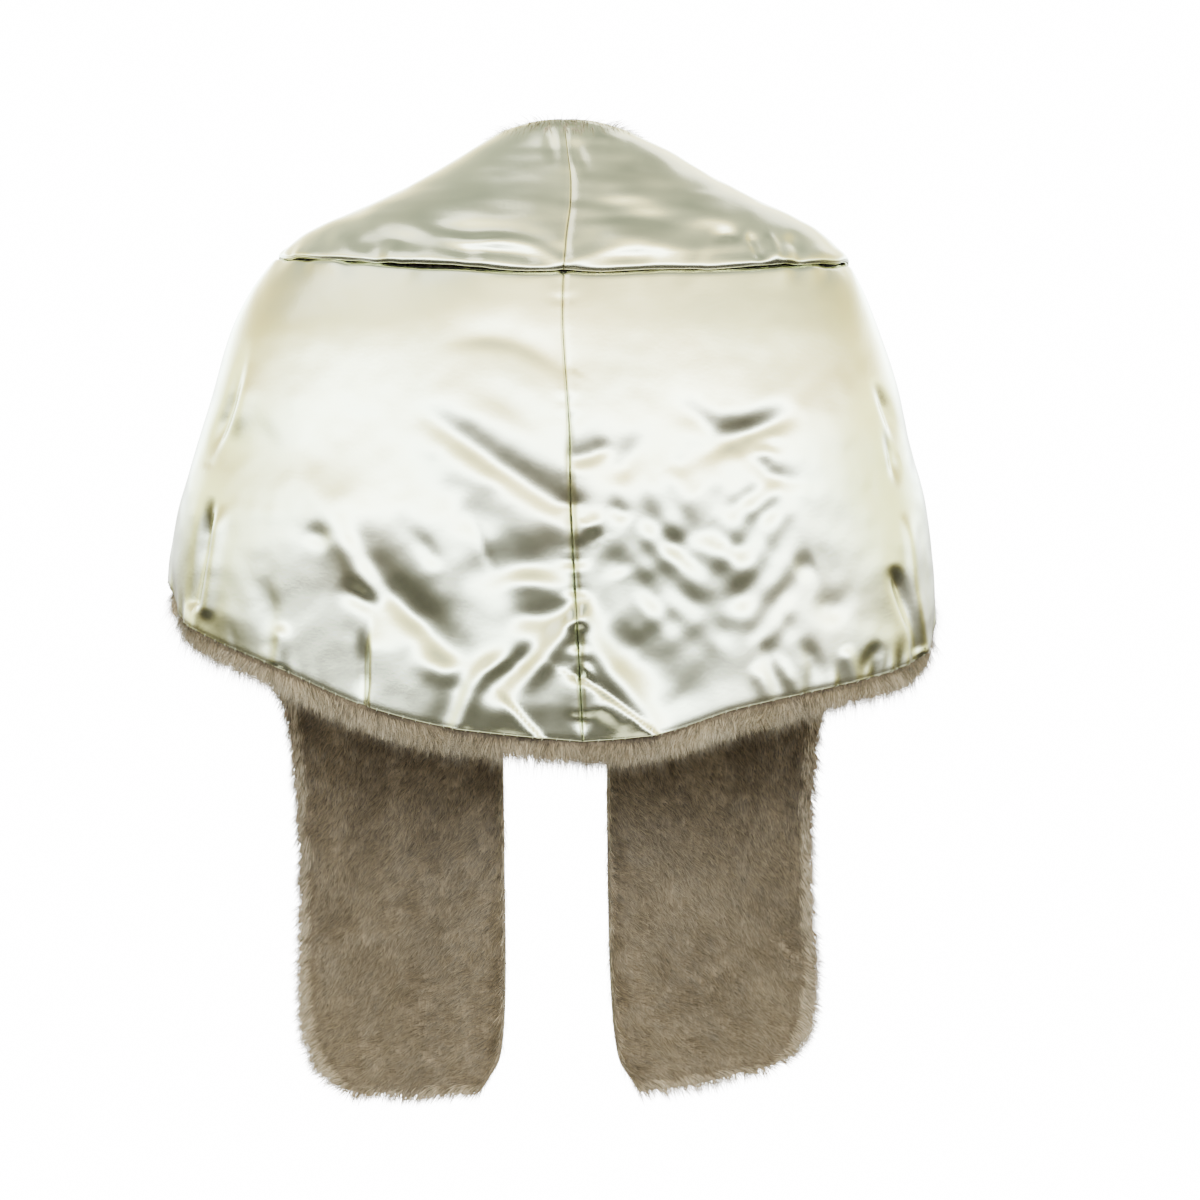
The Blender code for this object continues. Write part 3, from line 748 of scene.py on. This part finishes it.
def fur_profile(length):
    """Distances and depths along one section of the pile, from under the hem round inside."""
    distances = [length + past * MILLIMETRE for past, _ in HEM_LIP]
    depths = [depth * MILLIMETRE for _, depth in HEM_LIP]
    distances += list(np.linspace(length - FUR_HEM_GAP, FUR_NECK_GAP, FUR_ALONG))
    depths += [FUR_TOP] * FUR_ALONG
    distances += [-past * MILLIMETRE for past, _ in NECK_LIP]
    depths += [depth * MILLIMETRE for _, depth in NECK_LIP]
    return np.array(distances), np.array(depths)


class Pile:
    """The pile's surface of a stretch of sections, and the way its hairs lie."""

    def __init__(self, rows, at_end):
        self.lay = Lay(rows, lambda length, collar: fur_profile(length)[0])
        depth = np.array([fur_profile(length)[1] for length in self.lay.length[:, 0]])
        flat = Lay(rows, lambda length, collar: np.linspace(0.0, length, FLAT_STEPS))
        index = np.clip(self.lay.reach / self.lay.length, 0.0, 1.0) * (FLAT_STEPS - 1)
        low = np.minimum(index.astype(int), FLAT_STEPS - 2)
        part = (index - low)[..., None]
        pick = np.arange(len(rows))[:, None]
        spread = blur(flat.normal, NORMAL_BLUR)
        normal = unit(spread[pick, low] * (1 - part) + spread[pick, low + 1] * part)
        self.out = normal
        swell = swells(self.lay.across, self.lay.z, PILE_SWELLS)
        inside = ease(0.006, 0.0095, depth)
        points = self.lay.base - normal * depth[..., None]
        points -= normal * (swell * MILLIMETRE * inside)[..., None]
        fall = flat.base[:, 1:] - flat.base[:, :-1]
        fall = np.concatenate([fall, fall[:, -1:]], axis=1)
        self.nap = unit(fall[pick, low])
        points, self.out, self.nap, depth = self.rounded_end(points, depth, at_end)
        self.points = points
        self.depth = depth
        self.normal = normals_of(points)

    def rounded_end(self, points, depth, at_end):
        """Closes the pile round the end of a front, past its last (or first) section."""
        out, nap = self.out, self.nap
        edge, inner = (-1, -3) if at_end else (0, 2)
        run = unit(points[edge] - points[inner])
        extra = []
        for past, squeeze in END_RINGS if at_end else END_RINGS[::-1]:
            shift = (depth[edge] - END_DEPTH) * squeeze
            ring = points[edge] + run * past + out[edge] * shift[:, None]
            extra.append((ring, out[edge], unit(nap[edge] + run), depth[edge] - shift))
        parts = zip((points, out, nap, depth), map(np.array, zip(*extra)))
        return [np.concatenate(pair if at_end else pair[::-1]) for pair in parts]


HAIR_SEED = 20
# `length` and `width` are (least, most) in metres; a kinked hair bends at its middle.
Hair = namedtuple("Hair", "count length width lift material seed kinked")
HAIRS = {
    "hem_hair": Hair(40000, (0.008, 0.0210), (0.00030, 0.00055), 0.26, "fur", 1, True),
    "guard_hair": Hair(8000, (0.014, 0.031), (0.00022, 0.00040), 0.42, "guard", 5, True),
    "front_edge_hair": Hair(14000, (0.010, 0.018), (0.00035, 0.0007), 0.45, "fur", 2, True),
    # front_hair and inner_hair take the darker "inner" colours: painted shade of the inside of the
    # garment.
    "front_hair": Hair(72000, (0.010, 0.017), (0.0007, 0.0012), 0.42, "inner", 3, False),
    "inner_hair": Hair(42000, (0.012, 0.018), (0.0010, 0.0018), 0.40, "inner", 4, False),
}
ROOT_DEPTH = 0.0015


def grow_hair(name, pile, hair, weight, material):
    """Tapered hairs on a pile's surface as one joined mesh.

    `weight` is the share of hairs for each grid cell.
    """
    random = np.random.default_rng(HAIR_SEED + hair.seed)
    count = hair.count
    p = pile.points
    a, b, c, d = p[:-1, :-1], p[1:, :-1], p[1:, 1:], p[:-1, 1:]
    area = np.linalg.norm(np.cross(c - a, d - b), axis=-1) / 2
    share = area * weight[:-1, :-1]
    cell = random.choice(share.size, size=count, p=(share / share.sum()).ravel())
    i, j = np.unravel_index(cell, share.shape)
    fu, fv = random.random(count)[:, None], random.random(count)[:, None]

    def at(grid):
        top = grid[i, j] * (1 - fu) + grid[i + 1, j] * fu
        low = grid[i, j + 1] * (1 - fu) + grid[i + 1, j + 1] * fu
        return top * (1 - fv) + low * fv

    root = at(p)
    normal = unit(at(pile.normal))
    nap = unit(at(pile.nap) + np.array([0.0, 0.0, -0.35]))
    side = unit(np.cross(normal, nap))
    sway = 0.60 * noise(root[:, 0] + root[:, 1], root[:, 2], 0.022, 81)
    sway += 0.65 * noise(root[:, 0] - root[:, 1], root[:, 2], 0.006, 83)
    sway += 0.22 * random.standard_normal(count)
    rise = hair.lift * (1 + 0.35 * noise(root[:, 0], root[:, 2] + root[:, 1], 0.012, 85))
    rise += 0.10 * random.standard_normal(count)
    flat = unit(nap - normal * np.sum(nap * normal, axis=-1, keepdims=True))
    way = unit(flat + side * sway[:, None] + normal * rise[:, None])
    bend = unit(way + flat * 0.35 + np.array([0.0, 0.0, -0.20]))
    least, most = hair.length
    size = least + (most - least) * random.random(count) ** 1.4
    least, most = hair.width
    half = (least + (most - least) * random.random(count)) / 2
    spin = unit(side * np.cos(0.8 * sway)[:, None] + normal * np.sin(0.8 * sway)[:, None])
    root = root - normal * ROOT_DEPTH
    middle = root + way * (size * 0.5)[:, None]
    tip = middle + bend * (size * 0.5)[:, None]
    wide = spin * half[:, None]
    if hair.kinked:
        corners = [root - wide, root + wide, middle + wide * 0.75, middle - wide * 0.75, tip]
        shades = [0.0, 0.0, 0.5, 0.5, 1.0]
        faces = [(0, 1, 2), (0, 2, 3), (3, 2, 4)]
    else:
        corners = [root - wide, root + wide, tip]
        shades = [0.0, 0.0, 1.0]
        faces = [(0, 1, 2)]
    tone = random.random(count)
    band = 0.5 + 0.5 * noise(root[:, 0], root[:, 2] * 0.4 + root[:, 1], 0.03, 87)
    return hair_object(name, corners, faces, (shades, tone, band), material)


def hair_object(name, corners, faces, colours, material):
    """One mesh of hairs. `corners` hold a point for each hair, `faces` is one hair's, and
    `colours` are the share of the way to the tip, and each hair's tone and band."""
    number, count = len(corners), len(corners[0])
    vertices = np.stack(corners, axis=1).reshape(-1, 3)
    start = (np.arange(count) * number)[:, None, None]
    triangles = (start + np.array(faces)[None]).reshape(-1, 3)
    mesh = bpy.data.meshes.new(name)
    mesh.vertices.add(len(vertices))
    mesh.vertices.foreach_set("co", vertices.ravel().astype(np.float32))
    mesh.loops.add(triangles.size)
    mesh.loops.foreach_set("vertex_index", triangles.ravel().astype(np.int32))
    mesh.polygons.add(len(triangles))
    mesh.polygons.foreach_set("loop_start", np.arange(0, triangles.size, 3, dtype=np.int32))
    mesh.update(calc_edges=True)
    shade = mesh.attributes.new("hair", "FLOAT_COLOR", "POINT")
    shades, tone, band = colours
    colour = np.ones((count, number, 4), dtype=np.float32)
    colour[..., 0] = np.array(shades)[None]
    colour[..., 1] = tone[:, None]
    colour[..., 2] = band[:, None]
    shade.data.foreach_set("color", colour.ravel())
    return placed(name, mesh, material)


# ---------------------------------------------------------------- materials

class Nodes:
    """Short calls for building the node tree of a material or of the world."""

    def __init__(self, owner):
        owner.use_nodes = True
        self.tree = owner.node_tree

    def add(self, kind, **values):
        node = self.tree.nodes.new(kind)
        for key, value in values.items():
            setattr(node, key, value)
        return node

    def feed(self, node, inputs):
        """Sets a node's inputs: another node's output is linked, a plain value is copied."""
        for key, value in inputs.items():
            if hasattr(value, "is_linked"):
                self.tree.links.new(value, node.inputs[key])
            else:
                node.inputs[key].default_value = value
        return node

    def place(self):
        return self.add("ShaderNodeTexCoord").outputs["Object"]

    def ramp(self, factor, stops):
        node = self.feed(self.add("ShaderNodeValToRGB"), {"Fac": factor})
        elements = node.color_ramp.elements
        while len(elements) < len(stops):
            elements.new(0.5)
        for element, (place, colour) in zip(elements, stops):
            element.position = place
            element.color = (*colour, 1.0)
        return node.outputs["Color"]

    def noise(self, vector, scale, detail=3.0, roughness=0.5):
        values = {"Vector": vector, "Scale": scale, "Detail": detail, "Roughness": roughness}
        return self.feed(self.add("ShaderNodeTexNoise"), values).outputs["Fac"]

    def stretched(self, vector, scale):
        values = {"Vector": vector, "Scale": scale}
        return self.feed(self.add("ShaderNodeMapping"), values).outputs["Vector"]

    def map_range(self, value, low, high):
        values = {"Value": value, "From Min": low, "From Max": high}
        return self.feed(self.add("ShaderNodeMapRange"), values).outputs["Result"]

    def math(self, operation, *values):
        node = self.add("ShaderNodeMath", operation=operation)
        return self.feed(node, dict(enumerate(values))).outputs["Value"]

    def multiply(self, factor, a, b):
        """Colour `a` times colour `b`, by the share `factor`."""
        node = self.add("ShaderNodeMix", data_type="RGBA", blend_type="MULTIPLY")
        return self.feed(node, {0: factor, 6: a, 7: b}).outputs[2]

    def bump(self, height, strength, distance):
        values = {"Height": height, "Strength": strength, "Distance": distance}
        return self.feed(self.add("ShaderNodeBump"), values).outputs["Normal"]


class Material(Nodes):
    """A new material, by the inputs of its one shader."""

    def __init__(self, name):
        self.material = bpy.data.materials.new(name)
        super().__init__(self.material)

    def shade(self, **inputs):
        """Sets the shader's inputs: an underscore in a name stands for a space."""
        named = {key.replace("_", " "): value for key, value in inputs.items()}
        self.feed(self.tree.nodes["Principled BSDF"], named)
        return self.material


SATIN_TINTS = [(0.30, (0.65, 0.68, 0.52)), (0.52, (0.70, 0.72, 0.56)), (0.72, (0.75, 0.73, 0.55))]
THREAD_SHADES = [(0.3, (0.7, 0.7, 0.7)), (0.7, (1, 1, 1))]
STITCH_COLOURS = [(0.3, (0.50, 0.52, 0.40)), (0.7, (0.62, 0.63, 0.50))]
# Colours of each kind of hair at its root, its middle and its tip. The "inner" colours are a darker
# copy of the "fur" colours: painted shade, standing in for the shadow the wearer's body casts on
# the pile inside the garment.
HAIR_COLOURS_AND_SHADE = {
    "fur": ((0.08, 0.058, 0.038), (0.48, 0.375, 0.275), (0.76, 0.66, 0.54)),
    "inner": ((0.032, 0.022, 0.013), (0.145, 0.104, 0.068), (0.27, 0.21, 0.152)),
    "guard": ((0.07, 0.053, 0.038), (0.13, 0.10, 0.076), (0.24, 0.21, 0.19)),
}
HAIR_TONES = [(0.0, (0.30, 0.28, 0.26)), (1.0, (1.0, 0.99, 0.97))]
HAIR_BANDS = [(0.2, (0.72, 0.70, 0.68)), (0.8, (1.1, 1.1, 1.08))]
# Colours of the pile's surface under the hairs, from the fur's brown down to near black: painted
# shade, so the gaps between the hairs look deep.
UNDERFUR_SHADE_COLOURS = [
    (0.30, (0.030, 0.020, 0.012)), (0.50, (0.10, 0.070, 0.045)), (0.68, (0.19, 0.14, 0.095)),
]


def satin_material():
    n = Material("satin")
    place = n.place()
    cloth = n.add("ShaderNodeUVMap", uv_map="Cloth").outputs["UV"]
    thread = n.noise(n.stretched(cloth, (900.0, 9000.0, 1.0)), 1.0, 2.0)
    tint = n.ramp(n.noise(place, 7.0, 2.0), SATIN_TINTS)
    relief = n.math("ADD", n.noise(place, 260.0, 3.0, 0.6), n.math("MULTIPLY", thread, 0.15))
    return n.shade(
        Base_Color=n.multiply(0.10, tint, n.ramp(thread, THREAD_SHADES)),
        Roughness=n.math("MULTIPLY_ADD", n.noise(place, 40.0, 3.0), 0.06, 0.20),
        Normal=n.bump(relief, 0.10, 0.0006),
        Metallic=0.985, Sheen_Weight=0.04, Sheen_Roughness=0.35, Anisotropic=0.25,
    )


def thread_material():
    n = Material("thread")
    return n.shade(Base_Color=n.ramp(n.noise(n.place(), 400.0), STITCH_COLOURS), Roughness=0.45)


def fur_material(name, root, middle, tips):
    n = Material(name)
    hair = n.add("ShaderNodeAttribute", attribute_name="hair").outputs["Color"]
    parts = n.feed(n.add("ShaderNodeSeparateColor"), {"Color": hair}).outputs
    length = n.ramp(parts["Red"], [(0.0, root), (0.5, middle), (1.0, tips)])
    varied = n.multiply(1.0, length, n.ramp(parts["Green"], HAIR_TONES))
    striped = n.multiply(0.8, varied, n.ramp(parts["Blue"], HAIR_BANDS))
    return n.shade(Base_Color=striped, Roughness=0.50, Specular_IOR_Level=0.35,
                   Sheen_Weight=0.25, Sheen_Roughness=0.4)


def deep_pile_shade_material():
    # Strand and clump pattern of the underfur; its dark colours are painted shade of the deep pile.
    n = Material("underfur_painted_shade")
    place = n.place()
    strands = n.noise(n.stretched(place, (1.0, 1.0, 0.22)), 620.0, 4.0, 0.65)
    clumps = n.noise(place, 70.0, 3.0)
    mixed = n.math("MULTIPLY_ADD", clumps, 0.4, n.math("MULTIPLY", strands, 0.6))
    return n.shade(Base_Color=n.ramp(mixed, UNDERFUR_SHADE_COLOURS), Normal=n.bump(mixed, 0.8, 0.002),
                   Roughness=0.85, Sheen_Weight=0.3)


# ---------------------------------------------------------------- the pieces

STITCH_PITCH = 0.0110
STITCH_LENGTH = 0.0028
STITCH_HALF = 0.00018
STITCH_STRAY = 0.002
STITCH_SINK = 0.0022
STITCH_RISE = 0.0005


def hem_stitches(name, points, material):
    """Small slanting thread stitches that fell a satin hem to the fur, as one mesh."""
    edge, inner = points[:, -1], points[:, -3]
    gone = np.concatenate([[0.0], np.cumsum(np.linalg.norm(np.diff(edge, axis=0), axis=1))])
    at = np.arange(STITCH_PITCH, gone[-1] - STITCH_PITCH, STITCH_PITCH)
    at = at + STITCH_STRAY * noise(at, at * 0, STITCH_PITCH, 91)
    normal = normals_of(points)[:, -1]
    down = unit(edge - inner)
    along = unit(np.gradient(edge, axis=0))

    def pick(grid):
        return np.stack([np.interp(at, gone, grid[:, k]) for k in range(3)], axis=-1)

    place, out, fall, run = pick(edge), unit(pick(normal)), unit(pick(down)), unit(pick(along))
    way = unit(fall + run * (0.5 + 0.3 * noise(at, at * 0, 0.02, 93))[:, None])
    wide = unit(np.cross(out, way)) * STITCH_HALF
    high = out * STITCH_HALF
    top = place - way * STITCH_LENGTH * 0.45
    end = place + way * STITCH_LENGTH * 0.55 - out * STITCH_SINK
    middle = place + out * STITCH_RISE
    rings = []
    for centre in (top, middle, end):
        rings += [centre + wide, centre + high, centre - wide, centre - high]
    vertices = np.stack(rings, axis=1).reshape(-1, 3)
    quads = [(r + k, r + (k + 1) % 4, r + 4 + (k + 1) % 4, r + 4 + k)
             for r in (0, 4) for k in range(4)]
    faces = (np.arange(len(at)) * 12)[:, None, None] + np.array(quads)[None]
    return mesh_object(name, vertices, faces.reshape(-1, 4), material)


def declare(piece, nodes):
    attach(piece, "root")
    if nodes:
        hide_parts(*nodes)


def build_satin():
    material = satin_material()
    lay, points = satin_body_points()
    bodies, edges = satin_halves("satin_body", lay, points, TOP_ROLL, HEM_ROLL, HEM_TURN_UP,
                                 material)
    lay, points = satin_collar_points()
    collars, _ = satin_halves("satin_collar", lay, points, NECK_ROLL, YOKE_ROLL, 0.0, material)
    thread = thread_material()
    for side in ("left", "right"):
        stitches = hem_stitches(f"hem_stitches_{side}", edges[side], thread)
        declare(stitches, [])
        declare(bodies[side], [f"lining_body_{side}"])
        declare(collars[side], [f"lining_collar_{side}"])


# Grid cells where the pile shows at an edge, and the sections that part back from front.
EDGE_REACH = 0.004
EDGE_DEPTH = 0.0098
INNER_DEPTH = 0.009
HEM_BACK_ROWS = 9
INSIDE_ROWS = 9.5
FRONT_END_REACH = 0.2
NECK_SHARE = 0.5


def hair_weights(pile, at_end):
    """Where each kind of hair of HAIRS grows on a pile, grid cell by grid cell."""
    ends = ((0, len(END_RINGS)) if at_end else (len(END_RINGS), 0), (0, 0))
    grids = (np.abs(pile.lay.row_grid), pile.lay.reach, pile.lay.length)
    row, reach, length = (np.pad(grid, ends, mode="edge") for grid in grids)
    hem = ((length - reach) < EDGE_REACH) & (pile.depth < EDGE_DEPTH)
    hem_back = hem & (row < HEM_BACK_ROWS)
    front_end = (row >= LAST_ROW) & (length - reach < FRONT_END_REACH)
    hem_front = (hem & (row >= HEM_BACK_ROWS)) | front_end
    neck = (reach < EDGE_REACH) & (pile.depth < EDGE_DEPTH)
    inner = pile.depth > INNER_DEPTH
    return {
        "hem_hair": hem_back * 1.0,
        "guard_hair": hem_back * 1.0,
        "front_edge_hair": hem_front * 1.0 + neck * NECK_SHARE,
        "front_hair": (inner & (row > INSIDE_ROWS)) * 1.0,
        "inner_hair": (inner & (row <= INSIDE_ROWS)) * 1.0,
    }


def build_fur():
    # The pile's skin under the hairs is coloured dark as painted shade of the deep pile.
    under = deep_pile_shade_material()
    # The "inner" hair material carries painted shade: its colours are darkened for the shadow
    # inside the garment.
    materials = {name: fur_material(f"{name}_hair", *HAIR_COLOURS_AND_SHADE[name]) for name in HAIR_COLOURS_AND_SHADE}
    coarse = np.linspace(0.0, LAST_ROW, int(LAST_ROW / FUR_STEP) + 1)
    for side in ("left", "right"):
        at_end = side == "left"
        pile = Pile(coarse if at_end else -coarse[::-1], at_end)
        skin = grid_object(f"fur_{side}", pile.points[:, ::-1], under)
        weights = hair_weights(pile, at_end)
        pieces = [
            grow_hair(f"{kind}_{side}", pile, hair, weights[kind], materials[hair.material])
            for kind, hair in HAIRS.items()
        ]
        for piece in pieces:
            declare(piece, [])
        nodes = [f"fur_body_{side}"] + (["fur_collar"] if side == "left" else [])
        declare(skin, nodes)


# ---------------------------------------------------------------- stage, light and camera

FLOOR_Z = -1.42
CAMERA_DISTANCE = 3.0
CAMERA_HEIGHT = -0.414
CAMERA_X = -0.030
BODY_Y = -0.060
VIEW_WIDTH = 1.05
SENSOR = 36.0
LIGHT_AIM_Z = -0.30
LIGHT_SIZE = (2.0, 1.4)
LIGHT_POWER = 22.0
LIGHT_COLOUR = (1.0, 1.0, 0.93)


FLOOR_RADIUS = 1.25
FLOOR_SIDES = 96
FLOOR_COLOURS = [(0.3, (0.80, 0.80, 0.79)), (0.7, (0.84, 0.84, 0.83))]
# Light of the studio by height: dark floor, bright walls at eye level, warm ceiling.
STUDIO_STOPS = [
    (0.000, (0.032, 0.027, 0.023)), (0.220, (0.05, 0.042, 0.035)), (0.330, (0.095, 0.08, 0.068)),
    (0.410, (0.21, 0.185, 0.16)), (0.460, (0.50, 0.46, 0.41)), (0.500, (1.12, 1.09, 1.02)),
    (0.530, (2.5, 2.6, 2.55)), (0.565, (6.4, 7.1, 7.2)), (0.610, (14.5, 16.8, 17.2)),
    (0.660, (12.0, 13.0, 12.0)), (0.705, (6.2, 5.9, 3.9)), (0.755, (4.4, 4.0, 2.1)),
    (0.830, (2.4, 2.25, 1.3)), (0.885, (1.3, 1.35, 1.0)), (1.000, (0.5, 0.56, 0.45)),
]
SIDE_TINT = (0.36, 0.32, 0.16, 1.0)
BACKDROP_STRENGTH = 16.0


def build_floor():
    n = Material("floor")
    tint = n.ramp(n.noise(n.place(), 3.0), FLOOR_COLOURS)
    turn = np.linspace(0.0, 2 * np.pi, FLOOR_SIDES + 1)[:-1]
    ring = [FLOOR_RADIUS * np.cos(turn), FLOOR_RADIUS * np.sin(turn), np.full(FLOOR_SIDES, FLOOR_Z)]
    mesh = bpy.data.meshes.new("floor")
    mesh.from_pydata(np.stack(ring, axis=-1).tolist(), [], [list(range(FLOOR_SIDES))])
    mesh.materials.append(n.shade(Base_Color=tint, Roughness=0.7))
    floor = linked("floor", mesh)


def build_world():
    """Studio surroundings: light by height, warmer at the sides, white behind the garment."""
    world = bpy.data.worlds.new("studio")
    n = Nodes(world)
    n.tree.nodes.clear()
    place = n.add("ShaderNodeTexCoord").outputs["Generated"]
    split = n.feed(n.add("ShaderNodeSeparateXYZ"), {"Vector": place}).outputs
    studio = n.ramp(n.map_range(split["Z"], -1.0, 1.0), STUDIO_STOPS)
    beside = n.map_range(n.math("ABSOLUTE", split["X"]), 0.55, 0.95)
    lit = {"Color": n.multiply(beside, studio, SIDE_TINT), "Strength": 1.0}
    around = n.feed(n.add("ShaderNodeBackground"), lit).outputs["Background"]
    white = {"Color": (1.0, 1.0, 1.0, 1.0), "Strength": BACKDROP_STRENGTH}
    behind = n.feed(n.add("ShaderNodeBackground"), white).outputs["Background"]
    seen = n.add("ShaderNodeLightPath").outputs["Is Camera Ray"]
    choose = n.feed(n.add("ShaderNodeMixShader"), {"Fac": seen, 1: around, 2: behind})
    n.feed(n.add("ShaderNodeOutputWorld"), {"Surface": choose.outputs["Shader"]})
    bpy.context.scene.world = world


def add_light(name, place, size, power, colour):
    data = bpy.data.lights.new(name, "AREA")
    data.shape = "RECTANGLE"
    data.size, data.size_y = size
    data.energy = power
    data.color = colour
    light = linked(name, data)
    light.location = place
    aim = Vector((0.0, BODY_Y, LIGHT_AIM_Z)) - light.location
    light.rotation_euler = aim.to_track_quat("-Z", "Y").to_euler()


def build_lights():
    for name, place in (("key_back", (1.5, 1.5, 2.3)), ("key_front", (-1.4, -1.9, 2.2))):
        add_light(name, place, LIGHT_SIZE, LIGHT_POWER, LIGHT_COLOUR)


def build_camera():
    data = bpy.data.cameras.new("camera")
    data.sensor_width = SENSOR
    data.lens = SENSOR * CAMERA_DISTANCE / VIEW_WIDTH
    camera = linked("camera", data)
    camera.location = (CAMERA_X, BODY_Y + CAMERA_DISTANCE, CAMERA_HEIGHT)
    camera.rotation_euler = (math.radians(90), 0.0, math.radians(180))
    bpy.context.scene.camera = camera


build_satin()
build_fur()
build_floor()
build_world()
build_lights()
build_camera()
